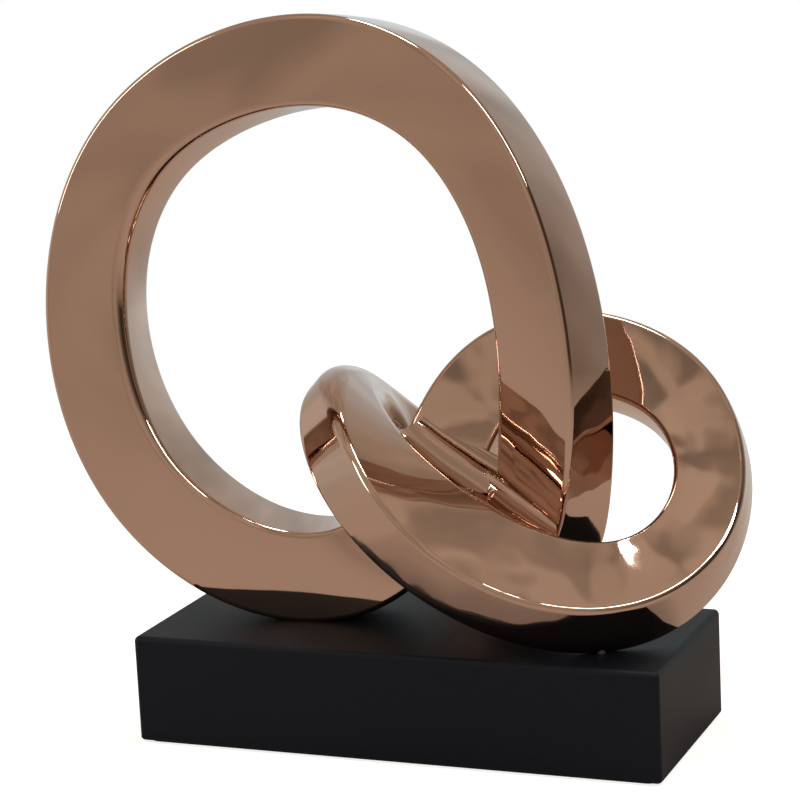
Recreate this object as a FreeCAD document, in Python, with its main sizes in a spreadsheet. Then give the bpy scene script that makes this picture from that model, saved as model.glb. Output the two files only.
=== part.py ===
import FreeCAD, Part
import Sketcher
import collections
import math
import os
from FreeCAD import Vector

# Metal knot sculpture on a plinth, in millimetres. One hollow square-section band is closed on itself:
# a big upright ring comes down as an arm in front of a small leaning loop, turns behind the strand that
# rises from the ring's foot, folds forward round it and runs on as the front band of that loop.
# +Z is up. The origin is under the middle of the plinth, whose long side runs along X and whose front
# looks along -Y.

# alias, value, meaning
SIZES = (
    ("plinth_length", "290", "long side of the plinth"),
    ("plinth_depth", "118", "short side of the plinth"),
    ("plinth_height", "59", "from the surface under the felt to the top of the plinth"),
    ("plinth_edge_radius", "3", "rounding of the plinth's upright and top edges"),
    ("plinth_bottom_chamfer", "1", "chamfer round the plinth's underside"),
    ("felt_thickness", "1.5", "felt sheet under the plinth"),
    ("felt_inset", "4", "from the plinth's side in to the felt"),
    ("felt_corner_radius", "5", "rounding of the felt's corners"),
    ("knot_span", "330", "scale of the band's route from side to side"),
    ("knot_height", "270", "scale of the band's route upwards"),
    ("band_width", "45", "scale of the band's width, seen from the front"),
    ("band_thickness", "40", "band from its front face to its back face"),
    ("foot_sink", "1.5", "taken off under each foot so that it sits flat"),
    ("edge_radius", "2.8", "rounding of the band's crisp edges"),
    ("core_edge_radius", "1.2", "least rounding inside the hollow band"),
    ("band_wall", "3.5", "metal of the hollow castings"),
    ("sleeve_length", "24", "joint sleeve along the band"),
    ("sleeve_wall", "2.5", "metal of a joint sleeve"),
    ("sleeve_clearance", "0.5", "between a sleeve and the casting round it"),
    ("sleeve_edge_relief", "2", "how much rounder a sleeve's edges are than the casting round it"),
    ("boss_diameter", "18", "threaded block fixed inside a foot"),
    ("boss_height", "16", "from the plinth's top to the top of a boss"),
    ("boss_clearance", "0.3", "between a boss and the casting round it"),
    ("screw_diameter", "5", "shank of a foot screw"),
    ("screw_length", "38", "shank of a foot screw under its head"),
    ("screw_clearance", "0.4", "round the shank in the plinth, the casting and the washer"),
    ("thread_clearance", "0.15", "round the shank in the boss"),
    ("head_diameter", "8.5", "head of a foot screw"),
    ("head_height", "5", "head of a foot screw"),
    ("socket_diameter", "4.6", "across the corners of the hexagon socket"),
    ("socket_depth", "2.6", "hexagon socket in the head"),
    ("washer_diameter", "13", "washer under a screw head"),
    ("washer_thickness", "1.2", "washer under a screw head"),
    ("well_diameter", "17", "well in the underside for a screw head"),
    ("well_roof", "24", "wood left between a well and the plinth's top"),
    ("overrun", "6", "how far every cut runs past what it cuts"),
)

# The band's route is a closed uniform cubic curve on these poles. Each row holds the pole's place across
# as a share of knot_span, its place in depth as a share of the band's mean size, the height of the band's
# underside over the plinth as a share of knot_height, the turn and the lean of the band's front face in
# degrees, the width as a share of band_width, and how many times edge_radius the inner and the outer
# edges have there.
ROUTE_SHARES = (
    (0.210, 0.33, 0.170, -25, 0, 1.16, 2, 1),  # arm, low
    (0.238, 0.05, 0.415, -15, -5, 1.04, 1.2, 1),  # arm, middle
    (0.211, 0.00, 0.698, -10, -5, 0.92, 1, 1),  # arm, high
    (0.104, 0.05, 0.936, 0, 0, 0.96, 1, 1),  # ring, upper right
    (-0.070, 0.09, 1.032, 0, 5, 1.06, 1, 1),  # ring, top
    (-0.277, 0.09, 0.997, 0, 10, 1.08, 1.3, 1),  # ring, upper left
    (-0.464, 0.05, 0.873, 0, 10, 1.02, 2.2, 1),
    (-0.559, 0.00, 0.655, 5, 5, 1.01, 2.6, 1),  # ring, left
    (-0.560, -0.05, 0.388, 5, -5, 1.07, 2.2, 1.2),
    (-0.477, -0.05, 0.156, 0, -5, 1.15, 1.5, 1.4),  # ring, lower left
    (-0.325, 0.05, 0.012, 5, -2, 1.17, 1, 1.4),
    (-0.160, 0.19, -0.015, 5, -2, 1.12, 1, 1.2),  # ring, foot
    (-0.045, 0.38, 0.050, 5, 5, 1.08, 1, 1),  # crossing strand, rising
    (0.010, 0.66, 0.175, 5, 15, 1.04, 1, 1),
    (0.045, 1.04, 0.300, 5, 25, 1.04, 1, 1),
    (0.120, 1.46, 0.380, 5, 25, 1.04, 1, 1),  # behind the arm
    (0.245, 1.65, 0.390, 5, 25, 1.02, 1, 1),  # loop, top
    (0.375, 1.55, 0.340, 5, 30, 0.92, 1, 1),
    (0.455, 1.13, 0.225, 5, 35, 0.82, 1, 1),  # loop, right
    (0.460, 0.33, 0.080, 15, 45, 0.86, 1, 1),
    (0.375, -0.42, -0.012, 20, 50, 0.94, 1, 1),  # loop, foot
    (0.235, -0.99, 0.002, 25, 50, 1.06, 1, 1),  # front band
    (0.075, -1.13, 0.100, 35, 50, 1.08, 1, 1),
    (-0.058, -0.75, 0.228, 65, 55, 0.93, 1, 1),
    (-0.144, 0.09, 0.320, 90, 50, 0.86, 4, 4),  # fold, front
    (-0.178, 1.08, 0.316, 90, 45, 0.88, 7, 7),  # fold, top
    (-0.142, 1.74, 0.206, 65, 45, 0.93, 4, 4),  # fold, back
    (-0.050, 1.88, 0.075, 25, 45, 1.02, 1, 1),  # behind the rising strand
    (0.060, 1.60, -0.010, -10, 30, 1.12, 1.2, 1),
    (0.160, 0.99, 0.010, -25, 15, 1.18, 2.4, 1),  # under the arm
)

# An edge's rounding is at most this share of the smaller side of the section.
ROUNDING_LIMIT_SHARE = 0.46

# Each casting runs from one place to the next along the route, counted in poles.
CASTING_SHARES = (
    ("ring_crown", 2.5, 6),
    ("ring_left", 6, 9),
    ("ring_foot", 9, 12),
    ("crossing_strand", 12, 15.5),
    ("loop_top", 15.5, 18.5),
    ("loop_foot", 18.5, 21.5),
    ("front_band", 21.5, 23),
    ("fold", 23, 27.5),
    ("arm", 27.5, 32.5),
)
# The two feet are looked for between these places, counted in poles.
FOOT_SEARCH_SHARES = (("ring_foot", 10, 11.5), ("loop_foot", 19.5, 21))
# Places per pole for the lofts, and steps per pole for finding the lowest point of a foot.
LOFT_PLACES_PER_POLE = 3
SEARCH_STEPS_PER_POLE = 48
# A foot stands on a whole side of the section, not on an edge, where the front face leans this little.
FLAT_FOOT_SHARE = 0.3
# Half of a sleeve is lofted through this many spans.
SLEEVE_HALF_SPANS = 2
HEXAGON_SIDES = 6

DOC = FreeCAD.newDocument("knot_sculpture")
SHEET = DOC.addObject("Spreadsheet::Sheet", "sizes")

Station = collections.namedtuple("Station", "place along front out width thickness inner outer")


def fill_sheet():
    """Driving dimensions, one row each: the meaning and the value under its alias."""
    for row, (alias, value, meaning) in enumerate(SIZES, start=1):
        SHEET.set("A%d" % row, meaning)
        SHEET.set("B%d" % row, value)
        SHEET.setAlias("B%d" % row, alias)
    DOC.recompute()


def size(alias):
    """A driving dimension in millimetres."""
    return float(getattr(SHEET, alias))


def bind(item, **expressions):
    """Ties properties of an object to the sheet; a double underscore stands for a dot."""
    for name, expression in expressions.items():
        item.setExpression(name.replace("__", "."), expression)
    return item


# The route

def front_direction(turn, lean):
    """Unit vector of a face that looks along -Y, turned about Z and leaned back, in degrees."""
    turn = math.radians(turn)
    lean = math.radians(lean)
    return Vector(math.cos(lean) * math.sin(turn), -math.cos(lean) * math.cos(turn), math.sin(lean))


def pole(index):
    """Place, front direction, width and edge roundings at one pole of the route."""
    across, depth, rise, turn, lean, width, inner, outer = ROUTE_SHARES[index % len(ROUTE_SHARES)]
    width = width * size("band_width")
    mean_size = (size("band_width") + size("band_thickness")) / 2
    rest = width / 2 * math.cos(math.radians(lean))
    rest = rest + size("band_thickness") / 2 * abs(math.sin(math.radians(lean)))
    height = size("plinth_height") - size("foot_sink") + rest + rise * size("knot_height")
    place = Vector(across * size("knot_span"), depth * mean_size, height)
    edges = (inner * size("edge_radius"), outer * size("edge_radius"))
    return place, front_direction(turn, lean), width, edges


def curve_weights(step):
    """Weights of four poles in a row, a step of the way between the middle two."""
    rest = 1 - step
    return (
        rest**3 / 6,
        (3 * step**3 - 6 * step**2 + 4) / 6,
        (3 * rest**3 - 6 * rest**2 + 4) / 6,
        step**3 / 6,
    )


def slope_weights(step):
    """Weights of the same poles in the curve's first derivative."""
    rest = 1 - step
    return (
        -rest**2 / 2,
        (3 * step**2 - 4 * step) / 2,
        (4 * rest - 3 * rest**2) / 2,
        step**2 / 2,
    )


def near_poles(first):
    """The four poles that shape the route between a pole and the next."""
    return [pole(index) for index in (first - 1, first, first + 1, first + 2)]


def station(position):
    """The band's section at a place along the route, counted in poles."""
    first = math.floor(position)
    poles = near_poles(first)
    weights = curve_weights(position - first)
    slopes = slope_weights(position - first)
    place = Vector()
    along = Vector()
    front = Vector()
    for (spot, face, _, _), weight, slope in zip(poles, weights, slopes):
        place += spot * weight
        along += spot * slope
        front += face * weight
    along.normalize()
    front -= along * front.dot(along)
    front.normalize()
    width = sum(item[2] * weight for item, weight in zip(poles, weights))
    inner = sum(item[3][0] * weight for item, weight in zip(poles, weights))
    outer = sum(item[3][1] * weight for item, weight in zip(poles, weights))
    thickness = size("band_thickness")
    return Station(place, along, front, along.cross(front), width, thickness, inner, outer)


def pole_spacing(position):
    """Length of route per pole at a place along it."""
    first = math.floor(position)
    slope = Vector()
    for (spot, _, _, _), weight in zip(near_poles(first), slope_weights(position - first)):
        slope += spot * weight
    return slope.Length


def lowest_corner(at):
    """The lowest corner of the section, before its edges are rounded."""
    half_out = at.out * (at.width / 2)
    half_front = at.front * (at.thickness / 2)
    corners = [at.place + half_out * a + half_front * b for a in (-1, 1) for b in (-1, 1)]
    return min(corners, key=lambda corner: corner.z)


def foot_spot(start, end):
    """Centre of a foot: the point of the plinth under the lowest part of the band."""
    steps = round((end - start) * SEARCH_STEPS_PER_POLE)
    stations = [station(start + (end - start) * count / steps) for count in range(steps + 1)]
    low = min(stations, key=lambda at: lowest_corner(at).z)
    corner = lowest_corner(low)
    flat = abs(low.front.z) < abs(low.out.z) * FLAT_FOOT_SHARE
    centre = low.place if flat else corner
    return Vector(centre.x, centre.y, size("plinth_height"))


# Sections and lofts

def section_wire(at, inset, relief):
    """Rectangle with rounded corners, square to the route, drawn in by the inset."""
    half_out = at.width / 2 - inset
    half_front = at.thickness / 2 - inset
    limit = ROUNDING_LIMIT_SHARE * 2 * min(half_out, half_front)
    least = size("core_edge_radius") if inset > 0 else 0
    inner = min(max(at.inner - inset, least) + relief, limit)
    outer = min(max(at.outer - inset, least) + relief, limit)
    corners = ((1, 1, outer), (-1, 1, inner), (-1, -1, inner), (1, -1, outer))
    arcs = [corner_arc(at, half_out * a, half_front * b, a, b, radius) for a, b, radius in corners]
    edges = []
    for arc, following in zip(arcs, arcs[1:] + arcs[:1]):
        edges.append(arc.toShape())
        edges.append(Part.LineSegment(arc.EndPoint, following.StartPoint).toShape())
    return Part.Wire(edges)


def corner_arc(at, out, front, sign_out, sign_front, radius):
    """Quarter circle at one corner, from the corner's side that comes first round the section."""
    reach = radius * (1 - math.sqrt(0.5))

    def spot(back_out, back_front):
        shift_out = at.out * (out - sign_out * back_out)
        shift_front = at.front * (front - sign_front * back_front)
        return at.place + shift_out + shift_front

    ends = [spot(0, radius), spot(radius, 0)]
    if sign_out != sign_front:
        ends.reverse()
    return Part.Arc(ends[0], spot(reach, reach), ends[1])


def loft(name, positions, inset, relief=0):
    """Solid carried along the route through sections at the given places."""
    sections = []
    for count, position in enumerate(positions):
        section = DOC.addObject("Part::Feature", "%s_section_%d" % (name, count))
        section.Shape = section_wire(station(position), inset, relief)
        sections.append(section)
    solid = DOC.addObject("Part::Loft", name)
    solid.Sections = sections
    solid.Solid = True
    solid.Ruled = False
    return solid


def casting_places(start, end):
    """Places of a casting's sections, both ends included."""
    spans = round((end - start) * LOFT_PLACES_PER_POLE)
    return [start + (end - start) * count / spans for count in range(spans + 1)]


def cut(name, base, tool):
    """The base without the tool."""
    item = DOC.addObject("Part::Cut", name)
    item.Base = base
    item.Tool = tool
    return item


def casting(name, start, end):
    """Hollow length of the band, open at both ends."""
    places = casting_places(start, end)
    skin = loft(name + "_skin", places, 0)
    core = loft(name + "_core", places, size("band_wall"))
    return cut(name, skin, core)


def foot_casting(name, start, end, spot):
    """Hollow length of the band, cut flat where it stands and holed for its screw."""
    whole = casting(name + "_whole", start, end)
    block = DOC.addObject("Part::Box", name + "_seat")
    bind(block, Length="sizes.plinth_length", Width="sizes.plinth_depth", Height="sizes.plinth_height")
    bind(block, Placement__Base__x="-sizes.plinth_length / 2", Placement__Base__y="-sizes.plinth_depth / 2")
    hole = DOC.addObject("Part::Cylinder", name + "_screw_hole")
    bind(hole, Radius="sizes.screw_diameter / 2 + sizes.screw_clearance")
    bind(hole, Height="sizes.boss_height + 2 * sizes.overrun")
    hole.Placement.Base = spot - Vector(0, 0, size("overrun"))
    flat = cut(name + "_flat", whole, block)
    return cut(name, flat, hole)


def sleeve(name, position):
    """Thin tube inside the band, half of it on each side of a joint between two castings."""
    half = size("sleeve_length") / 2 / pole_spacing(position)
    counts = range(-SLEEVE_HALF_SPANS, SLEEVE_HALF_SPANS + 1)
    places = [position + half * count / SLEEVE_HALF_SPANS for count in counts]
    outside = size("band_wall") + size("sleeve_clearance")
    relief = size("sleeve_edge_relief")
    skin = loft(name + "_skin", places, outside, relief)
    core = loft(name + "_core", places, outside + size("sleeve_wall"), relief)
    return cut(name, skin, core)


# What holds the feet

def boss(name, spot, start, end):
    """Threaded block that fills the bottom of the hollow band over a foot."""
    post = DOC.addObject("Part::Cylinder", name + "_post")
    bind(post, Radius="sizes.boss_diameter / 2", Height="sizes.boss_height")
    post.Placement.Base = spot
    inside = size("band_wall") + size("boss_clearance")
    fitted = DOC.addObject("Part::Common", name + "_fitted")
    fitted.Base = post
    fitted.Tool = loft(name + "_room", casting_places(start, end), inside)
    bore = DOC.addObject("Part::Cylinder", name + "_bore")
    bind(bore, Radius="sizes.screw_diameter / 2 + sizes.thread_clearance")
    bind(bore, Height="sizes.boss_height + 2 * sizes.overrun")
    bore.Placement.Base = spot - Vector(0, 0, size("overrun"))
    return cut(name, fitted, bore)


def foot_screw(name, spot):
    """Socket-head screw whose washer bears on the roof of its well."""
    shank = DOC.addObject("Part::Cylinder", name + "_shank")
    bind(shank, Radius="sizes.screw_diameter / 2", Height="sizes.screw_length")
    seat = size("plinth_height") - size("well_roof") - size("washer_thickness")
    shank.Placement.Base = Vector(spot.x, spot.y, seat)
    head = DOC.addObject("Part::Cylinder", name + "_head")
    bind(head, Radius="sizes.head_diameter / 2", Height="sizes.head_height")
    head.Placement.Base = Vector(spot.x, spot.y, seat - size("head_height"))
    whole = DOC.addObject("Part::Fuse", name + "_whole")
    whole.Base = head
    whole.Tool = shank
    socket = DOC.addObject("Part::Prism", name + "_socket")
    socket.Polygon = HEXAGON_SIDES
    bind(socket, Circumradius="sizes.socket_diameter / 2", Height="sizes.socket_depth + sizes.overrun")
    socket.Placement.Base = Vector(spot.x, spot.y, seat - size("head_height") - size("overrun"))
    return cut(name, whole, socket)


def foot_washer(name, spot):
    """Flat ring between a screw head and the roof of its well."""
    disc = DOC.addObject("Part::Cylinder", name + "_disc")
    bind(disc, Radius="sizes.washer_diameter / 2", Height="sizes.washer_thickness")
    seat = size("plinth_height") - size("well_roof") - size("washer_thickness")
    disc.Placement.Base = Vector(spot.x, spot.y, seat)
    hole = DOC.addObject("Part::Cylinder", name + "_hole")
    bind(hole, Radius="sizes.screw_diameter / 2 + sizes.screw_clearance")
    bind(hole, Height="sizes.washer_thickness + 2 * sizes.overrun")
    hole.Placement.Base = Vector(spot.x, spot.y, seat - size("overrun"))
    return cut(name, disc, hole)


def group(name, items):
    """Like pieces that share one node, as separate solids."""
    item = DOC.addObject("Part::Compound", name)
    item.Links = items
    return item


# The plinth

def plane_of(body, role):
    """Origin plane of a body."""
    return next(item for item in body.Origin.OriginFeatures if item.Role == role)


def sketch_on_floor(body, name):
    """Sketch on the body's own XY plane."""
    sketch = body.newObject("Sketcher::SketchObject", name)
    sketch.AttachmentSupport = [(plane_of(body, "XY_Plane"), "")]
    sketch.MapMode = "FlatFace"
    return sketch


def centred_rectangle(sketch, length, depth, length_size, depth_size):
    """Rectangle about the sketch's origin, with its two sides tied to the sheet."""
    signs = ((-1, -1), (1, -1), (1, 1), (-1, 1))
    corners = [Vector(a * length_size / 2, b * depth_size / 2, 0) for a, b in signs]
    for start, end in zip(corners, corners[1:] + corners[:1]):
        sketch.addGeometry(Part.LineSegment(start, end), False)
    for line in range(len(corners)):
        following = (line + 1) % len(corners)
        sketch.addConstraint(Sketcher.Constraint("Coincident", line, 2, following, 1))
    for kind, lines in (("Horizontal", (0, 2)), ("Vertical", (1, 3))):
        for line in lines:
            sketch.addConstraint(Sketcher.Constraint(kind, line))
    sketch.addConstraint(Sketcher.Constraint("Symmetric", 0, 1, 2, 1, -1, 1))
    across = sketch.addConstraint(Sketcher.Constraint("DistanceX", 0, 1, 0, 2, length_size))
    deep = sketch.addConstraint(Sketcher.Constraint("DistanceY", 1, 1, 1, 2, depth_size))
    sketch.setExpression("Constraints[%d]" % across, length)
    sketch.setExpression("Constraints[%d]" % deep, depth)


def foot_circles(sketch, spots, radius, radius_size):
    """One circle under each foot, with its radius tied to the sheet."""
    for count, spot in enumerate(spots):
        centre = Vector(spot.x, spot.y, 0)
        sketch.addGeometry(Part.Circle(centre, Vector(0, 0, 1), radius_size), False)
        sketch.addConstraint(Sketcher.Constraint("DistanceX", -1, 1, count, 3, spot.x))
        sketch.addConstraint(Sketcher.Constraint("DistanceY", -1, 1, count, 3, spot.y))
        tied = sketch.addConstraint(Sketcher.Constraint("Radius", count, radius_size))
        sketch.setExpression("Constraints[%d]" % tied, radius)


def edges_where(shape, wanted):
    """Names of the edges for which the test on their bounding box holds."""
    return ["Edge%d" % (count + 1) for count, edge in enumerate(shape.Edges) if wanted(edge.BoundBox)]


def plinth_block(spots):
    """Rounded block with a stepped hole under each foot."""
    body = DOC.addObject("PartDesign::Body", "plinth_block")
    outline = sketch_on_floor(body, "plinth_outline")
    length = size("plinth_length")
    depth = size("plinth_depth")
    centred_rectangle(outline, "sizes.plinth_length", "sizes.plinth_depth", length, depth)
    pad = body.newObject("PartDesign::Pad", "plinth_pad")
    pad.Profile = outline
    bind(pad, Length="sizes.plinth_height - sizes.felt_thickness")
    DOC.recompute()
    height = size("plinth_height") - size("felt_thickness")
    rounding = body.newObject("PartDesign::Fillet", "plinth_rounding")
    rounding.Base = (pad, edges_where(pad.Shape, lambda box: box.ZMax > height / 2))
    bind(rounding, Radius="sizes.plinth_edge_radius")
    DOC.recompute()
    chamfer = body.newObject("PartDesign::Chamfer", "plinth_bottom_edge")
    chamfer.Base = (rounding, edges_where(rounding.Shape, lambda box: box.ZMax < height / 2))
    bind(chamfer, Size="sizes.plinth_bottom_chamfer")
    DOC.recompute()
    volume = chamfer.Shape.Volume
    wells = sketch_on_floor(body, "screw_wells")
    foot_circles(wells, spots, "sizes.well_diameter / 2", size("well_diameter") / 2)
    well_pocket = body.newObject("PartDesign::Pocket", "screw_well_pocket")
    well_pocket.Profile = wells
    well_pocket.Reversed = True
    bind(well_pocket, Length="sizes.plinth_height - sizes.felt_thickness - sizes.well_roof")
    DOC.recompute()
    holes = sketch_on_floor(body, "screw_holes")
    hole_radius = size("screw_diameter") / 2 + size("screw_clearance")
    foot_circles(holes, spots, "sizes.screw_diameter / 2 + sizes.screw_clearance", hole_radius)
    hole_pocket = body.newObject("PartDesign::Pocket", "screw_hole_pocket")
    hole_pocket.Profile = holes
    hole_pocket.Reversed = True
    bind(hole_pocket, Length="sizes.plinth_height + sizes.overrun")
    DOC.recompute()
    if not body.Shape.Volume < well_pocket.Shape.Volume < volume:
        raise ValueError("the plinth's wells or holes cut nothing")
    bind(body, Placement__Base__z="sizes.felt_thickness")
    return body


def felt_sheet():
    """Felt under the plinth, which covers the screw wells."""
    body = DOC.addObject("PartDesign::Body", "felt_sheet")
    outline = sketch_on_floor(body, "felt_outline")
    length = size("plinth_length") - 2 * size("felt_inset")
    depth = size("plinth_depth") - 2 * size("felt_inset")
    across = "sizes.plinth_length - 2 * sizes.felt_inset"
    deep = "sizes.plinth_depth - 2 * sizes.felt_inset"
    centred_rectangle(outline, across, deep, length, depth)
    pad = body.newObject("PartDesign::Pad", "felt_pad")
    pad.Profile = outline
    bind(pad, Length="sizes.felt_thickness")
    DOC.recompute()
    rounding = body.newObject("PartDesign::Fillet", "felt_rounding")
    upright = edges_where(pad.Shape, lambda box: box.ZLength > size("felt_thickness") / 2)
    rounding.Base = (pad, upright)
    bind(rounding, Radius="sizes.felt_corner_radius")
    return body


# The whole object

def check_document():
    """Stops the build if any feature failed."""
    for item in DOC.Objects:
        if {"Invalid", "Error"} & set(item.State):
            raise ValueError("%s failed" % item.Name)


def write_node(item):
    """Writes one sub-part under its label."""
    if item.Shape.isNull() or not item.Shape.isValid():
        raise ValueError("%s has no valid shape" % item.Label)
    item.Shape.exportStep("parts/%s.step" % item.Label)
    box = item.Shape.BoundBox
    spans = (item.Label, len(item.Shape.Solids), item.Shape.Volume, box.XMin, box.XMax, box.YMin, box.YMax)
    print("%s: %d solids, %.0f mm3, x %.1f %.1f, y %.1f %.1f," % spans, "z %.1f %.1f" % (box.ZMin, box.ZMax))


def main():
    """Builds every sub-part and writes it."""
    fill_sheet()
    spots = {name: foot_spot(start, end) for name, start, end in FOOT_SEARCH_SHARES}
    nodes = [plinth_block(list(spots.values())), felt_sheet()]
    for name, start, end in CASTING_SHARES:
        if name in spots:
            nodes.append(foot_casting(name, start, end, spots[name]))
        else:
            nodes.append(casting(name, start, end))
    for (before, _, end), (after, _, _) in zip(CASTING_SHARES, CASTING_SHARES[1:] + CASTING_SHARES[:1]):
        nodes.append(sleeve("sleeve_%s_to_%s" % (before, after), end))
    for name, start, end in FOOT_SEARCH_SHARES:
        nodes.append(boss(name + "_boss", spots[name], start, end))
    screws = [foot_screw(name + "_screw", spot) for name, spot in spots.items()]
    washers = [foot_washer(name + "_washer", spot) for name, spot in spots.items()]
    nodes.append(group("foot_screws", screws))
    nodes.append(group("foot_washers", washers))
    DOC.recompute()
    check_document()
    os.makedirs("parts", exist_ok=True)
    for item in nodes:
        write_node(item)


main()
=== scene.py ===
import math

import bpy
import numpy as np
from mathutils import Matrix, Vector


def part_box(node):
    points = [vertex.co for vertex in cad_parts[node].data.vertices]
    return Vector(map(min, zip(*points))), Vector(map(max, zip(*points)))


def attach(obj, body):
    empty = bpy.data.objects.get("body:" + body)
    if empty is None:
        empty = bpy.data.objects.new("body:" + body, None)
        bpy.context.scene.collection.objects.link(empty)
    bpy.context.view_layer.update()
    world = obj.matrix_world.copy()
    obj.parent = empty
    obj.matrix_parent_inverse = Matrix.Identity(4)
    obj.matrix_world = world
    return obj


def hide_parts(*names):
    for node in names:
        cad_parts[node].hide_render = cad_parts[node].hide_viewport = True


bl_info = {
    "name": "Metal Knot Sculpture",
    "version": (1, 0, 0),
    "blender": (4, 5, 0),
    "location": "3D View > Sidebar > Knot",
    "description": "Polished band closed on itself as a knot, on a matt black plinth",
    "category": "Object",
}

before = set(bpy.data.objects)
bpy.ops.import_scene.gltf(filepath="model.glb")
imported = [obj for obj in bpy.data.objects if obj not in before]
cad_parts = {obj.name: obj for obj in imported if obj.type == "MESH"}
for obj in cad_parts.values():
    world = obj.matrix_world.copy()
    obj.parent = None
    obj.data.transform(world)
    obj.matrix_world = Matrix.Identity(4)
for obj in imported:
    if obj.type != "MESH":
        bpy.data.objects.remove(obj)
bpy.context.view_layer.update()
PLINTH_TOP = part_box("plinth_block")[1].z

# The band's route: a closed uniform cubic curve on these poles. Each row holds the place across as a
# share of the knot's span, the place in depth as a share of the band's mean size, the height of the
# band's underside over the plinth as a share of the knot's rise, the turn and the lean of the front face
# in degrees, the width as a share of the band's width, and how many times the edge radius the inner and
# the outer edges have there.
ROUTE_SHARES = np.array([
    (0.210, 0.33, 0.170, -25, 0, 1.16, 2, 1),  # arm, low
    (0.238, 0.05, 0.415, -15, -5, 1.04, 1.2, 1),  # arm, middle
    (0.211, 0.00, 0.698, -10, -5, 0.92, 1, 1),  # arm, high
    (0.104, 0.05, 0.936, 0, 0, 0.96, 1, 1),  # ring, upper right
    (-0.070, 0.09, 1.032, 0, 5, 1.06, 1, 1),  # ring, top
    (-0.277, 0.09, 0.997, 0, 10, 1.08, 1.3, 1),  # ring, upper left
    (-0.464, 0.05, 0.873, 0, 10, 1.02, 2.2, 1),
    (-0.559, 0.00, 0.655, 5, 5, 1.01, 2.6, 1),  # ring, left
    (-0.560, -0.05, 0.388, 5, -5, 1.07, 2.2, 1.2),
    (-0.477, -0.05, 0.156, 0, -5, 1.15, 1.5, 1.4),  # ring, lower left
    (-0.325, 0.05, 0.012, 5, -2, 1.17, 1, 1.4),
    (-0.160, 0.19, -0.015, 5, -2, 1.12, 1, 1.2),  # ring, foot
    (-0.045, 0.38, 0.050, 5, 5, 1.08, 1, 1),  # crossing strand, rising
    (0.010, 0.66, 0.175, 5, 15, 1.04, 1, 1),
    (0.045, 1.04, 0.300, 5, 25, 1.04, 1, 1),
    (0.120, 1.46, 0.380, 5, 25, 1.04, 1, 1),  # behind the arm
    (0.245, 1.65, 0.390, 5, 25, 1.02, 1, 1),  # loop, top
    (0.375, 1.55, 0.340, 5, 30, 0.92, 1, 1),
    (0.455, 1.13, 0.225, 5, 35, 0.82, 1, 1),  # loop, right
    (0.460, 0.33, 0.080, 15, 45, 0.86, 1, 1),
    (0.375, -0.42, -0.012, 20, 50, 0.94, 1, 1),  # loop, foot
    (0.235, -0.99, 0.002, 25, 50, 1.06, 1, 1),  # front band
    (0.075, -1.13, 0.100, 35, 50, 1.08, 1, 1),
    (-0.058, -0.75, 0.228, 65, 55, 0.93, 1, 1),
    (-0.144, 0.09, 0.320, 90, 50, 0.86, 4, 4),  # fold, front
    (-0.178, 1.08, 0.316, 90, 45, 0.88, 7, 7),  # fold, top
    (-0.142, 1.74, 0.206, 65, 45, 0.93, 4, 4),  # fold, back
    (-0.050, 1.88, 0.075, 25, 45, 1.02, 1, 1),  # behind the rising strand
    (0.060, 1.60, -0.010, -10, 30, 1.12, 1.2, 1),
    (0.160, 0.99, 0.010, -25, 15, 1.18, 2.4, 1),  # under the arm
])

# Most that the radius of an edge may take of the section's smaller side.
ROUNDING_LIMIT_SHARE = 0.46

# Each casting's length of the route, counted in poles.
CASTINGS = (
    ("ring_crown", 2.5, 6),
    ("ring_left", 6, 9),
    ("ring_foot", 9, 12),
    ("crossing_strand", 12, 15.5),
    ("loop_top", 15.5, 18.5),
    ("loop_foot", 18.5, 21.5),
    ("front_band", 21.5, 23),
    ("fold", 23, 27.5),
    ("arm", 27.5, 32.5),
)

# Polished fillets where another strand's front face meets the inner wall of the front band. Each has the
# band's range of the route, the other strand's range, and the places of the fillet's two ends across that
# strand, from -1 at its inner edge to 1 at its outer edge.
FILLETS = (
    ("arm_fillet", 20.95, 22.45, 29.98, 30.08, 1.0, -1.3),
    ("crossing_fillet", 21.95, 23.6, 13.5, 13.6, 1.7, -0.9),
)


# Sizes and colours

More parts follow.
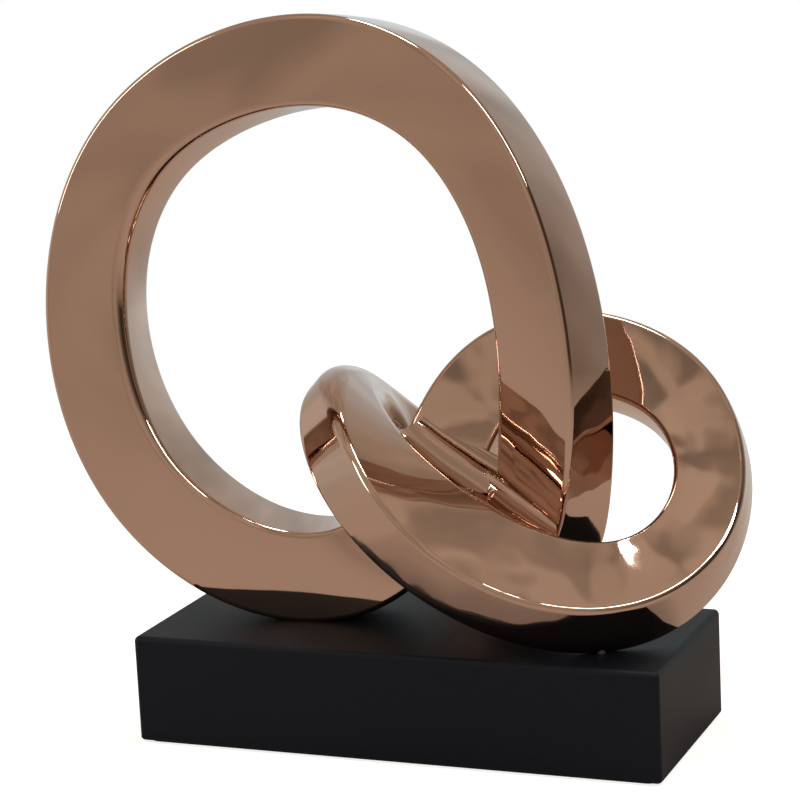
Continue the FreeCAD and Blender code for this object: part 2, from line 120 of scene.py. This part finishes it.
class KnotSizes(bpy.types.PropertyGroup):
    """Sizes of the band and how finely it is drawn"""
    span: bpy.props.FloatProperty(
        name="Span", description="Scale of the route from side to side", default=0.33, unit="LENGTH")
    rise: bpy.props.FloatProperty(
        name="Rise", description="Scale of the route upwards", default=0.27, unit="LENGTH")
    band_width: bpy.props.FloatProperty(
        name="Band Width", description="Scale of the band's width", default=0.045, unit="LENGTH")
    band_thickness: bpy.props.FloatProperty(
        name="Band Thickness", description="Band from front face to back face", default=0.04, unit="LENGTH")
    foot_sink: bpy.props.FloatProperty(
        name="Foot Flat", description="Depth of the flat under each foot", default=0.0015, unit="LENGTH")
    edge_radius: bpy.props.FloatProperty(
        name="Edge Radius", description="Rounding of the crisp edges", default=0.0028, unit="LENGTH")
    crown: bpy.props.FloatProperty(
        name="Crown", description="How far each polished face swells in its middle", default=0.0005,
        unit="LENGTH")
    rows_per_pole: bpy.props.IntProperty(
        name="Rows per Pole", description="Rows of the surface between two poles", default=36)
    arc_steps: bpy.props.IntProperty(
        name="Edge Steps", description="Steps round one rounded edge", default=12)
    fillet_rows: bpy.props.IntProperty(
        name="Fillet Rows", description="Rows of a fillet each way", default=64)
    fillet_bite: bpy.props.FloatProperty(
        name="Fillet Bite", description="How far a fillet's edges reach into the strands", default=0.0004,
        unit="LENGTH")
    fillet_depth: bpy.props.FloatProperty(
        name="Fillet Depth", description="Depth of a fillet's body", default=0.003, unit="LENGTH")
    fillet_pull: bpy.props.FloatProperty(
        name="Fillet Pull", description="Share of its width along which a fillet follows the faces",
        default=0.35)
    fillet_inset: bpy.props.FloatProperty(
        name="Fillet Inset", description="Edge radii from a strand's corner in to a fillet", default=1.2)
    side_steps: bpy.props.IntProperty(
        name="Side Steps", description="Steps across one flat side", default=10)
    hair: bpy.props.FloatProperty(
        name="Hair", description="Step along the route, in poles, that the surface's slope is taken over",
        default=1e-4, precision=5)


class FinishColours(bpy.types.PropertyGroup):
    """Colours of the finishes"""
    metal: bpy.props.FloatVectorProperty(
        name="Rose Gold", description="Plated metal", default=(0.56, 0.395, 0.3), subtype="COLOR")
    metal_warm: bpy.props.FloatVectorProperty(
        name="Rose Gold, Pinker", description="Plated metal where the plating is pinker",
        default=(0.57, 0.39, 0.315), subtype="COLOR")
    paint: bpy.props.FloatVectorProperty(
        name="Plinth Paint", description="Matt black paint", default=(0.0035, 0.005, 0.0085), subtype="COLOR")
    paint_gloss: bpy.props.FloatVectorProperty(
        name="Paint Gloss", description="Tint of the paint's gloss", default=(0.78, 0.86, 1.0),
        subtype="COLOR")
    felt: bpy.props.FloatVectorProperty(
        name="Felt", description="Felt under the plinth", default=(0.014, 0.014, 0.015), subtype="COLOR")
    cast: bpy.props.FloatVectorProperty(
        name="Raw Casting", description="Sleeves inside the band", default=(0.42, 0.42, 0.43),
        subtype="COLOR")
    brass: bpy.props.FloatVectorProperty(
        name="Boss Metal", description="Threaded bosses", default=(0.6, 0.42, 0.16), subtype="COLOR")
    steel: bpy.props.FloatVectorProperty(
        name="Screw Steel", description="Screws and washers", default=(0.5, 0.5, 0.51), subtype="COLOR")


class StageSettings(bpy.types.PropertyGroup):
    """Floor and camera"""
    lens: bpy.props.FloatProperty(name="Lens", description="Focal length in millimetres", default=119.9)
    sensor: bpy.props.FloatProperty(name="Sensor", description="Sensor width in millimetres", default=36)
    yaw: bpy.props.FloatProperty(
        name="Yaw", description="Camera's turn about the upright", default=math.radians(22.2),
        subtype="ANGLE")
    pitch: bpy.props.FloatProperty(
        name="Pitch", description="Camera's look down", default=math.radians(11.56), subtype="ANGLE")
    roll: bpy.props.FloatProperty(
        name="Roll", description="Camera's tilt about its own axis", default=math.radians(-2.82),
        subtype="ANGLE")
    distance: bpy.props.FloatProperty(
        name="Distance", description="From the camera to the aim", default=1.4294, unit="LENGTH")
    aim_across: bpy.props.FloatProperty(
        name="Aim Across", description="Aim to the side of the plinth's middle", default=-0.0168,
        unit="LENGTH")
    aim_up: bpy.props.FloatProperty(
        name="Aim Up", description="Aim over the floor, square to the view", default=0.1761, unit="LENGTH")
    floor_size: bpy.props.FloatProperty(
        name="Floor Size", description="Side of the floor", default=2.6, unit="LENGTH")
    floor_fade: bpy.props.FloatProperty(
        name="Floor Fade", description="Distance from the middle where the floor starts to fade",
        default=0.3, unit="LENGTH")
    floor_colour: bpy.props.FloatVectorProperty(
        name="Floor", description="Floor's colour in the metal", default=(0.6, 0.53, 0.48), subtype="COLOR")
    floor_glow: bpy.props.FloatProperty(
        name="Floor Glow", description="Light added to the floor for the camera alone", default=0.8)


class RoomSettings(bpy.types.PropertyGroup):
    """Surroundings that light the object"""
    front_level: bpy.props.FloatProperty(
        name="Front Level", description="Light from the room in front", default=0.45)
    behind_gain: bpy.props.FloatProperty(
        name="Behind Gain", description="Light added behind the object", default=0.2)
    straight_gain: bpy.props.FloatProperty(
        name="Straight Behind Gain", description="Light added straight behind it", default=0.3)
    left_gain: bpy.props.FloatProperty(
        name="Left Gain", description="Share of light added at the left", default=0.5)
    left_coolness: bpy.props.FloatProperty(
        name="Left Coolness", description="Share of the cool tint at the left", default=0.4)
    right_shade: bpy.props.FloatProperty(
        name="Right Shade", description="Share of light taken away in front at the right", default=0.8)
    aside_shade: bpy.props.FloatProperty(
        name="Side Shade", description="Share of light taken away all along the right", default=0.35)
    patch_floor: bpy.props.FloatProperty(
        name="Patch Floor", description="Light share of the darkest cloudy patch", default=0.5)
    patch_grain: bpy.props.FloatProperty(
        name="Patch Grain", description="Grain of the cloudy patches", default=3.2)
    overhead_gain: bpy.props.FloatProperty(
        name="Overhead Gain", description="Light share of the bright patches overhead", default=0.6)
    overhead_shade: bpy.props.FloatProperty(
        name="Overhead Shade", description="Share of light taken away between them", default=0.2)
    overhead_grain: bpy.props.FloatProperty(
        name="Overhead Grain", description="Grain of the patches overhead", default=6.0)
    front_tint: bpy.props.FloatVectorProperty(
        name="Front Tint", description="Light from in front", default=(1, 0.84, 0.69), subtype="COLOR")
    behind_tint: bpy.props.FloatVectorProperty(
        name="Behind Tint", description="Light from behind", default=(0.86, 0.96, 1), subtype="COLOR")


# Shader nodes as expressions

class Value:
    """A shader socket that takes part in Python sums."""

    def __init__(self, tree, socket):
        self.tree = tree
        self.socket = socket

    def _math(self, operation, first, second):
        return self.tree.add("ShaderNodeMath", {"operation": operation}, {0: first, 1: second})

    def __add__(self, other):
        return self._math("ADD", self, other)

    def __radd__(self, other):
        return self._math("ADD", other, self)

    def __sub__(self, other):
        return self._math("SUBTRACT", self, other)

    def __rsub__(self, other):
        return self._math("SUBTRACT", other, self)

    def __mul__(self, other):
        return self._math("MULTIPLY", self, other)

    def __rmul__(self, other):
        return self._math("MULTIPLY", other, self)

    def above(self, other):
        """The larger of two values."""
        return self._math("MAXIMUM", self, other)

    def below(self, other):
        """The smaller of two values."""
        return self._math("MINIMUM", self, other)

    def ramp(self, start, slope):
        """0 up to the start, and from there up to 1 by the slope, which is negative for a ramp downwards."""
        return ((self - start) * slope).above(0).below(1)


class Tree:
    """A node tree whose nodes are added with their settings and inputs in one call."""

    def __init__(self, owner):
        owner.use_nodes = True
        self.nodes = owner.node_tree.nodes
        self.links = owner.node_tree.links
        self.nodes.clear()

    def add(self, kind, settings=None, inputs=None, output=0):
        """Adds a node and returns one of its outputs, or the node itself where it has none."""
        node = self.nodes.new(kind)
        for name, value in (settings or {}).items():
            setattr(node, name, value)
        for name, value in (inputs or {}).items():
            if isinstance(value, Value):
                self.links.new(value.socket, node.inputs[name])
            else:
                node.inputs[name].default_value = value
        if not node.outputs:
            return node
        return Value(self, node.outputs[output])

    def place(self):
        """Object coordinates."""
        return self.add("ShaderNodeTexCoord", output="Object")

    def noise(self, scale, detail=2.0, roughness=0.5, vector=None):
        """Smooth noise from 0 to 1, with its grain given per metre."""
        inputs = {"Scale": scale, "Detail": detail, "Roughness": roughness, "Vector": vector or self.place()}
        return self.add("ShaderNodeTexNoise", inputs=inputs, output="Fac")

    def parts(self, vector):
        """The three coordinates of a vector."""
        return [self.add("ShaderNodeSeparateXYZ", inputs={0: vector}, output=axis) for axis in range(3)]

    def blend(self, factor, first, second):
        """Mix of two colours."""
        return self.add("ShaderNodeMix", {"data_type": "RGBA"}, {0: factor, 6: first, 7: second}, output=2)

    def bump(self, height, distance, strength):
        """Normal from a height."""
        relief = {"Height": height, "Distance": distance, "Strength": strength}
        return self.add("ShaderNodeBump", inputs=relief)


def colour(value, share=1.0):
    """Colour with full alpha, lighter or darker by a share."""
    return (*(channel * share for channel in value), 1.0)


def finish(name):
    """A new material, its tree, and a function that adds the surface from its sockets' values."""
    material = bpy.data.materials.new(name)
    tree = Tree(material)

    def surface(**sockets):
        names = (key.replace("_", " ").title().replace("Ior", "IOR") for key in sockets)
        named = dict(zip(names, sockets.values()))
        shader = tree.add("ShaderNodeBsdfPrincipled", inputs=named)
        tree.add("ShaderNodeOutputMaterial", inputs={"Surface": shader})

    return material, tree, surface


# Where the loop starts, upwards and across, each as the start and the slope of a ramp.
LOOP_TOP_RAMP = (0.25, -12)
LOOP_LEFT_RAMP = (-0.06, 10)


def polished_metal(colours):
    """Rose-gold plating over a hand-polished casting: a mirror with slow ripples and faint polishing haze."""
    ripple_grain, dent_grain, haze_grain, tint_grain = 14, 36, 55, 9
    loop_dents, other_dents = 0.7, 0.08
    ripple_depth, ripple_strength = 0.0016, 0.6
    least_roughness, haze_roughness = 0.03, 0.03
    material, tree, surface = finish("polished_rose_gold")
    x, _, z = tree.parts(tree.place())
    on_loop = z.ramp(*LOOP_TOP_RAMP) * x.ramp(*LOOP_LEFT_RAMP)
    dents = tree.noise(dent_grain, detail=1.0, roughness=0.4) * (on_loop * loop_dents + other_dents)
    ripple = tree.noise(ripple_grain, detail=1.0, roughness=0.4) + dents
    haze = tree.noise(haze_grain, detail=3.0, roughness=0.6)
    pinkness = tree.noise(tint_grain, detail=1.0)
    surface(
        base_color=tree.blend(pinkness, colour(colours.metal), colour(colours.metal_warm)),
        metallic=1.0,
        roughness=haze * haze_roughness + least_roughness,
        normal=tree.bump(ripple, ripple_depth, ripple_strength),
    )
    return material


def matt_paint(colours):
    """Matt black paint, sprayed: fine grain and a slightly uneven sheen."""
    spray_grain, cloud_grain = 1400, 14
    spray_depth, spray_strength = 0.0001, 0.5
    least_roughness, cloud_roughness = 0.46, 0.08
    lighter_share = 1.25
    material, tree, surface = finish("matt_black_paint")
    spray = tree.noise(spray_grain)
    cloud = tree.noise(cloud_grain, detail=3.0)
    surface(
        base_color=tree.blend(cloud, colour(colours.paint), colour(colours.paint, lighter_share)),
        roughness=cloud * cloud_roughness + least_roughness,
        specular_ior_level=0.22,
        specular_tint=colour(colours.paint_gloss),
        normal=tree.bump(spray, spray_depth, spray_strength),
    )
    return material


def felt_cloth(colours):
    """Pressed black felt with short tangled fibres."""
    fibre_grain, fibre_depth, fibre_strength = 2600, 0.0003, 0.8
    lighter_share = 1.8
    material, tree, surface = finish("black_felt")
    fibres = tree.noise(fibre_grain, detail=4.0, roughness=0.7)
    surface(
        base_color=tree.blend(fibres, colour(colours.felt), colour(colours.felt, lighter_share)),
        roughness=0.95,
        normal=tree.bump(fibres, fibre_depth, fibre_strength),
    )
    return material


def plain_metal(name, base, roughness, grain_scale):
    """Unpolished metal with a fine grain."""
    darker_share = 0.8
    grain_roughness, grain_depth, grain_strength = 0.1, 0.0001, 0.4
    material, tree, surface = finish(name)
    grain = tree.noise(grain_scale, detail=3.0)
    surface(
        base_color=tree.blend(grain, colour(base, darker_share), colour(base)),
        metallic=1.0,
        roughness=grain * grain_roughness + roughness,
        normal=tree.bump(grain, grain_depth, grain_strength),
    )
    return material


# The band's surface

def route(positions, sizes):
    """Frames of the band at places along the route.

    Between poles i and i + 1, a step u of the way, the uniform cubic weights of the four nearest poles
    are (1-u)^3, 3u^3-6u^2+4, 3r^3-6r^2+4 with r = 1-u, and u^3, all over 6. The unit slope is the
    direction along; the front face's direction is made square to it; out is along x front.
    """
    shares = ROUTE_SHARES
    turn, lean = np.radians(shares[:, 3]), np.radians(shares[:, 4])
    front = np.stack([np.cos(lean) * np.sin(turn), -np.cos(lean) * np.cos(turn), np.sin(lean)], axis=1)
    width = shares[:, 5] * sizes.band_width
    rest = width / 2 * np.cos(lean) + sizes.band_thickness / 2 * np.abs(np.sin(lean))
    height = PLINTH_TOP - sizes.foot_sink + rest + shares[:, 2] * sizes.rise
    mean_size = (sizes.band_width + sizes.band_thickness) / 2
    place = np.stack([shares[:, 0] * sizes.span, shares[:, 1] * mean_size, height], axis=1)
    poles = np.column_stack([place, front, width, shares[:, 6:8] * sizes.edge_radius])

    first = np.floor(positions).astype(int)
    u = positions - first
    r = 1 - u
    weights = np.stack([r**3, 3 * u**3 - 6 * u**2 + 4, 3 * r**3 - 6 * r**2 + 4, u**3], axis=1) / 6
    slopes = np.stack([-r**2, 3 * u**2 - 4 * u, 4 * r - 3 * r**2, u**2], axis=1) / 2
    near = poles[(first[:, None] + np.arange(-1, 3)) % len(poles)]
    here = (weights[..., None] * near).sum(axis=1)
    along = unit((slopes[..., None] * near[..., :3]).sum(axis=1))
    facing = here[:, 3:6]
    facing = unit(facing - (facing * along).sum(axis=1, keepdims=True) * along)
    return here[:, :3], along, facing, np.cross(along, facing), here[:, 6], here[:, 7], here[:, 8]


def unit(vectors):
    """Vectors of length one."""
    return vectors / np.linalg.norm(vectors, axis=-1, keepdims=True)


def profile(half_out, half_front, inner, outer, sizes):
    """Closed outline of each section as two grids, out and front, with their slopes round the outline.

    Quarter arcs of the edge radii at the four corners are joined by straight sides. Each side then
    swells: out grows by crown * out/half_out * (1 - (front/half_front)^2), and front in the same way.
    """
    limit = ROUNDING_LIMIT_SHARE * 2 * np.minimum(half_out, half_front)
    inner = np.minimum(inner, limit)
    outer = np.minimum(outer, limit)
    corners = ((1, 1, outer), (-1, 1, inner), (-1, -1, inner), (1, -1, outer))
    turn = np.linspace(0, np.pi / 2, sizes.arc_steps + 1)
    step = np.linspace(0, 1, sizes.side_steps + 1)[1:-1]
    grids = []
    for count, (a, b, radius) in enumerate(corners):
        angle = turn + count * np.pi / 2
        radius = radius[:, None]
        centre_out = a * (half_out[:, None] - radius)
        centre_front = b * (half_front[:, None] - radius)
        arc_out = centre_out + radius * np.cos(angle)
        arc_front = centre_front + radius * np.sin(angle)
        slope_out = np.broadcast_to(-np.sin(angle), arc_out.shape)
        slope_front = np.broadcast_to(np.cos(angle), arc_out.shape)
        grids.append((arc_out, arc_front, slope_out, slope_front))
    strips = []
    for here, following in zip(grids, grids[1:] + grids[:1]):
        strips.append(here)
        side = [h[:, -1:] + (f[:, :1] - h[:, -1:]) * step for h, f in zip(here[:2], following[:2])]
        slopes = [np.repeat(h[:, -1:], len(step), axis=1) for h in here[2:]]
        strips.append((*side, *slopes))
    out, front, d_out, d_front = (np.concatenate(parts, axis=1) for parts in zip(*strips))
    o, f = out / half_out[:, None], front / half_front[:, None]
    do, df = d_out / half_out[:, None], d_front / half_front[:, None]
    swollen_out = out + sizes.crown * o * (1 - f**2)
    swollen_front = front + sizes.crown * f * (1 - o**2)
    swollen_d_out = d_out + sizes.crown * (do * (1 - f**2) - 2 * o * f * df)
    swollen_d_front = d_front + sizes.crown * (df * (1 - o**2) - 2 * f * o * do)
    return swollen_out, swollen_front, swollen_d_out, swollen_d_front


def band_points(positions, sizes):
    """Surface of the band: place + out * profile_out + front * profile_front, for every position and
    outline point, with its slope round the outline and the slope of the route."""
    place, along, front, out, width, inner, outer = route(positions, sizes)
    half_out = width / 2 - sizes.crown
    half_front = np.full_like(half_out, sizes.band_thickness / 2 - sizes.crown)
    p_out, p_front, d_out, d_front = profile(half_out, half_front, inner, outer, sizes)
    points = place[:, None] + out[:, None] * p_out[..., None] + front[:, None] * p_front[..., None]
    around = out[:, None] * d_out[..., None] + front[:, None] * d_front[..., None]
    return points, around, along


def band_surface(start, end, sizes):
    """Grid of points and true normals of one casting, and the direction of the route at its two ends.

    The normal is (slope along the route) x (slope round the outline), the former taken between
    points a hair before and after. The outline is handed on the other way round, so that the faces
    point outwards as the normals do. Under the feet the surface is level with the plinth's top.
    """
    rows = round((end - start) * sizes.rows_per_pole) + 1
    positions = np.linspace(start, end, rows)
    points, around, along = band_points(positions, sizes)
    after = band_points(positions + sizes.hair, sizes)[0]
    before = band_points(positions - sizes.hair, sizes)[0]
    normals = unit(np.cross(after - before, around))
    points[..., 2] = np.maximum(points[..., 2], PLINTH_TOP)
    return points[:, ::-1], normals[:, ::-1], along[0], along[-1]


def normals_of(points):
    """Unit normals of a tube grid: (slope round the tube) x (slope along it)."""
    around = np.roll(points, -1, axis=1) - np.roll(points, 1, axis=1)
    return unit(np.cross(around, np.gradient(points, axis=0)))


def fillet_surface(band, strand, sides, sizes):
    """Grid of points and normals of one fillet, and the directions at its two ends.

    Across, the upper curve is (1-v)^3 a + 3v(1-v)^2 c + 3v^2(1-v) d + v^3 b: a lies on the band's inner
    wall with c behind it on that wall, b on the strand's front face with d below it on that face, so the
    fillet runs smoothly into both. The lower curve is the same, lowered by the fillet's depth. The
    outline is turned round where its normals would point inwards.
    """
    u = np.linspace(0, 1, sizes.fillet_rows)[:, None]
    place, _, front, out, width, _, _ = route(np.linspace(*band, sizes.fillet_rows), sizes)
    half = sizes.band_thickness / 2
    inset = sizes.fillet_inset * sizes.edge_radius
    a = place + out * (width[:, None] / 2 - sizes.fillet_bite) + front * (half - inset)
    place, _, face, side, width, _, _ = route(np.linspace(*strand, sizes.fillet_rows), sizes)
    across = (sides[0] + (sides[1] - sides[0]) * u) * (width[:, None] / 2 - inset)
    b = place + face * (half - sizes.fillet_bite) + side * across
    up = unit(np.array([0, 0, 1]) - face * face[:, 2:])
    pull = sizes.fillet_pull * np.linalg.norm(b - a, axis=1, keepdims=True)
    c, d = a - front * pull, b - up * pull
    v = np.linspace(0, 1, sizes.fillet_rows)[:, None, None]
    upper = (1 - v)**3 * a + 3 * v * (1 - v)**2 * c + 3 * v**2 * (1 - v) * d + v**3 * b
    lower = upper[-2:0:-1] - np.array([0, 0, sizes.fillet_depth])
    points = np.concatenate([upper, lower]).transpose(1, 0, 2)
    from_middle = points - points.mean(axis=1, keepdims=True)
    if (normals_of(points) * from_middle).sum() < 0:
        points = points[:, ::-1]
    return points, normals_of(points), unit(a[1] - a[0]), unit(a[-1] - a[-2])


def tube_mesh(name, points, normals, start_along, end_along):
    """Closed mesh of a tube grid with a flat cap at each end, and its own normals at every corner."""
    rows, columns = points.shape[:2]
    index = np.arange(rows * columns).reshape(rows, columns)
    here, beside = index, np.roll(index, -1, axis=1)
    quads = np.stack([here[:-1], beside[:-1], beside[1:], here[1:]], axis=-1).reshape(-1, 4)
    caps = [index[0][::-1], index[-1]]
    loops = np.concatenate([quads.ravel(), *caps])
    sizes = np.concatenate([np.full(len(quads), 4), [columns, columns]])
    starts = np.concatenate([[0], np.cumsum(sizes)[:-1]])
    mesh = bpy.data.meshes.new(name)
    mesh.vertices.add(rows * columns)
    mesh.vertices.foreach_set("co", points.astype(np.float32).ravel())
    mesh.loops.add(len(loops))
    mesh.loops.foreach_set("vertex_index", loops.astype(np.int32))
    mesh.polygons.add(len(sizes))
    mesh.polygons.foreach_set("loop_start", starts.astype(np.int32))
    mesh.polygons.foreach_set("use_smooth", np.ones(len(sizes), bool))
    mesh.update(calc_edges=True)
    mesh.validate()
    ends = np.repeat([-start_along, end_along], columns, axis=0)
    corner_normals = np.concatenate([normals.reshape(-1, 3)[quads.ravel()], ends])
    mesh.normals_split_custom_set(corner_normals.astype(np.float32))
    return mesh


def show(mesh, material):
    """Puts a mesh into the scene as a piece of the sculpture's one body."""
    item = bpy.data.objects.new(mesh.name, mesh)
    bpy.context.scene.collection.objects.link(item)
    mesh.materials.append(material)
    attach(item, "root")
    return item


def paint_node(node, material):
    """Gives a node of the frame its material."""
    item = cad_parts[node]
    item.data.materials.clear()
    item.data.materials.append(material)


# Operators, one for each group of pieces

class KNOT_OT_castings(bpy.types.Operator):
    """Draws the nine polished castings of the knotted band and its fillets"""
    bl_idname = "knot.castings"
    bl_label = "Knotted Band"

    def execute(self, context):
        sizes = context.scene.knot_sizes
        metal = polished_metal(context.scene.knot_colours)
        for name, start, end in CASTINGS:
            piece = show(tube_mesh(name + "_polished", *band_surface(start, end, sizes)), metal)
            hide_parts(name)
        for name, *places in FILLETS:
            surface = fillet_surface(places[:2], places[2:4], places[4:], sizes)
            piece = show(tube_mesh(name, *surface), metal)
        return {"FINISHED"}


class KNOT_OT_plinth(bpy.types.Operator):
    """Paints the plinth block and its felt"""
    bl_idname = "knot.plinth"
    bl_label = "Plinth and Felt"

    def execute(self, context):
        colours = context.scene.knot_colours
        paint_node("plinth_block", matt_paint(colours))
        paint_node("felt_sheet", felt_cloth(colours))
        return {"FINISHED"}


class KNOT_OT_inner_parts(bpy.types.Operator):
    """Finishes the sleeves, bosses, screws and washers held inside"""
    bl_idname = "knot.inner_parts"
    bl_label = "Inner Parts"

    def execute(self, context):
        colours = context.scene.knot_colours
        raw = plain_metal("raw_casting", colours.cast, 0.5, 900)
        brass = plain_metal("boss_brass", colours.brass, 0.3, 1500)
        steel = plain_metal("zinc_steel", colours.steel, 0.3, 1500)
        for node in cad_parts:
            if node.startswith("sleeve_"):
                paint_node(node, raw)
            elif node.endswith("_boss"):
                paint_node(node, brass)
            elif node in ("foot_screws", "foot_washers"):
                paint_node(node, steel)
        return {"FINISHED"}


class KNOT_OT_stage(bpy.types.Operator):
    """Sets the floor, lamps, surroundings and camera"""
    bl_idname = "knot.stage"
    bl_label = "Stage"

    def execute(self, context):
        settings = context.scene.knot_stage
        make_floor(settings)
        make_surroundings(context.scene, context.scene.knot_room)
        for lamp in LAMPS:
            make_lamp(*lamp)
        make_camera(context.scene, settings)
        context.scene.view_settings.view_transform = "Standard"
        return {"FINISHED"}


def seen_directly(tree):
    """1 for what the camera sees directly, and else 0."""
    return tree.add("ShaderNodeLightPath", output="Is Camera Ray")


def make_floor(settings):
    """Level white floor that keeps a soft shadow and fades into the surroundings with the distance."""
    half = settings.floor_size / 2
    corners = [(-half, -half, 0), (half, -half, 0), (half, half, 0), (-half, half, 0)]
    mesh = bpy.data.meshes.new("floor")
    mesh.from_pydata(corners, [], [(0, 1, 2, 3)])
    item = bpy.data.objects.new("floor", mesh)
    bpy.context.scene.collection.objects.link(item)
    material = bpy.data.materials.new("white_floor")
    tree = Tree(material)
    matt = tree.add("ShaderNodeBsdfDiffuse", inputs={"Color": colour(settings.floor_colour)})
    glow = tree.add("ShaderNodeEmission", inputs={"Strength": seen_directly(tree) * settings.floor_glow})
    both = tree.add("ShaderNodeAddShader", inputs={0: matt, 1: glow})
    clear = tree.add("ShaderNodeBsdfTransparent")
    radius = tree.add("ShaderNodeVectorMath", {"operation": "LENGTH"}, {0: tree.place()}, output=1)
    fade = radius.ramp(settings.floor_fade, 1 / (half - settings.floor_fade))
    mixed = tree.add("ShaderNodeMixShader", inputs={0: fade, 1: both, 2: clear})
    tree.add("ShaderNodeOutputMaterial", inputs={"Surface": mixed})
    mesh.materials.append(material)


# Zones of the room by direction (x right, y behind, z up), each as the start and the slope of a ramp, and
# how far behind the patches overhead reach.
BEHIND_RAMP = (0.6, 3)
STRAIGHT_BEHIND_RAMP = (0.9, 10)
RIGHT_RAMP = (0.62, 3.5)
NOT_BEHIND_RAMP = (0.45, -4)
ASIDE_RAMP = (0.5, 4)
LEFT_RAMP = (-0.75, -4.5)
BRIGHT_PATCH_RAMP = (0.42, 7)
OVERHEAD_REACH = 0.7


def make_surroundings(scene, room):
    """White for the camera; for the light, a pale room, white behind the object and warmer and dimmer
    in front of it, with soft cloudy patches as the things in a room make."""
    world = bpy.data.worlds.new("studio")
    scene.world = world
    tree = Tree(world)
    direction = tree.add("ShaderNodeTexCoord", output="Generated")
    x, y, z = tree.parts(direction)
    behind = y.ramp(*BEHIND_RAMP)
    straight_behind = y.ramp(*STRAIGHT_BEHIND_RAMP)
    right = x.ramp(*RIGHT_RAMP) * y.ramp(*NOT_BEHIND_RAMP)
    aside = x.ramp(*ASIDE_RAMP)
    left = x.ramp(*LEFT_RAMP)
    patches = tree.noise(room.patch_grain, vector=direction)
    bright = tree.noise(room.overhead_grain, detail=1.0, vector=direction).ramp(*BRIGHT_PATCH_RAMP)
    overhead = z.above(0) * (OVERHEAD_REACH - y).above(0)
    level = behind * room.behind_gain + straight_behind * room.straight_gain + room.front_level
    level = level * (1 - right * room.right_shade) * (1 - aside * room.aside_shade)
    level = level * (left * room.left_gain + 1)
    clouds = patches + room.patch_floor + overhead * (bright * room.overhead_gain - room.overhead_shade)
    coolness = behind.above(left * room.left_coolness)
    tint = tree.blend(coolness, colour(room.front_tint), colour(room.behind_tint))
    lit = tree.add("ShaderNodeBackground", inputs={"Color": tint, "Strength": level * clouds})
    white = tree.add("ShaderNodeBackground", inputs={"Color": (1, 1, 1, 1), "Strength": 1.0})
    shade = tree.add("ShaderNodeMixShader", inputs={0: seen_directly(tree), 1: lit, 2: white})
    tree.add("ShaderNodeOutputWorld", inputs={"Surface": shade})


# Name, place, aim, size across and up in metres, roll in degrees and power in watts of each soft lamp.
LAMPS = (
    ("key_lamp", (1.3, -0.6, 1.5), (0, 0, 0.2), 0.2, 1.1, 35, 10),
    ("left_strip", (-1.4, -0.9, 0.9), (0, 0, 0.2), 0.2, 1.0, 0, 5),
    ("top_lamp", (0, 0.3, 1.9), (0, 0, 0.2), 0.16, 1.0, 40, 12),
)


def make_lamp(name, place, aim, across, up, roll, power):
    """Rectangular soft lamp turned towards its aim."""
    lamp = bpy.data.lights.new(name, "AREA")
    lamp.shape = "RECTANGLE"
    lamp.size = across
    lamp.size_y = up
    lamp.energy = power
    item = bpy.data.objects.new(name, lamp)
    turned = (Vector(aim) - Vector(place)).to_track_quat("-Z", "Y").to_matrix().to_4x4()
    item.matrix_world = Matrix.Translation(place) @ turned @ Matrix.Rotation(math.radians(roll), 4, "Z")
    bpy.context.scene.collection.objects.link(item)


def make_camera(scene, settings):
    """Camera at the photograph's angle: turned by yaw, looking down by pitch and tilted by roll."""
    yaw, pitch, roll = settings.yaw, settings.pitch, settings.roll
    level = Matrix.Rotation(yaw, 4, "Z") @ Matrix.Rotation(math.pi / 2 - pitch, 4, "X")
    turned = level @ Matrix.Rotation(roll, 4, "Z")
    camera = bpy.data.cameras.new("camera")
    camera.lens = settings.lens
    camera.sensor_width = settings.sensor
    item = bpy.data.objects.new("camera", camera)
    offset = Vector((settings.aim_across, settings.aim_up, settings.distance))
    item.matrix_world = Matrix.Translation(turned.to_3x3() @ offset) @ turned
    scene.collection.objects.link(item)
    scene.camera = item


class KNOT_PT_panel(bpy.types.Panel):
    """Shows the sculpture's settings and the buttons that build its groups of pieces"""
    bl_idname = "KNOT_PT_panel"
    bl_label = "Metal Knot Sculpture"
    bl_space_type = "VIEW_3D"
    bl_region_type = "UI"
    bl_category = "Knot"

    def draw(self, context):
        column = self.layout.column()
        for name in GROUPS:
            group = getattr(context.scene, name)
            for setting in group.__annotations__:
                column.prop(group, setting)
        for operator in OPERATORS:
            column.operator(operator.bl_idname)


OPERATORS = (KNOT_OT_castings, KNOT_OT_plinth, KNOT_OT_inner_parts, KNOT_OT_stage)
GROUPS = {
    "knot_sizes": KnotSizes,
    "knot_colours": FinishColours,
    "knot_stage": StageSettings,
    "knot_room": RoomSettings,
}
CLASSES = (*GROUPS.values(), *OPERATORS, KNOT_PT_panel)


def register():
    """Adds the classes and the scene's settings."""
    for item in CLASSES:
        bpy.utils.register_class(item)
    for name, group in GROUPS.items():
        setattr(bpy.types.Scene, name, bpy.props.PointerProperty(type=group))


def unregister():
    """Takes the settings and the classes away."""
    for name in GROUPS:
        delattr(bpy.types.Scene, name)
    for item in reversed(CLASSES):
        bpy.utils.unregister_class(item)


def main():
    """Builds the sculpture and its stage."""
    register()
    bpy.ops.knot.castings()
    bpy.ops.knot.plinth()
    bpy.ops.knot.inner_parts()
    bpy.ops.knot.stage()


if __name__ == "__main__":
    main()
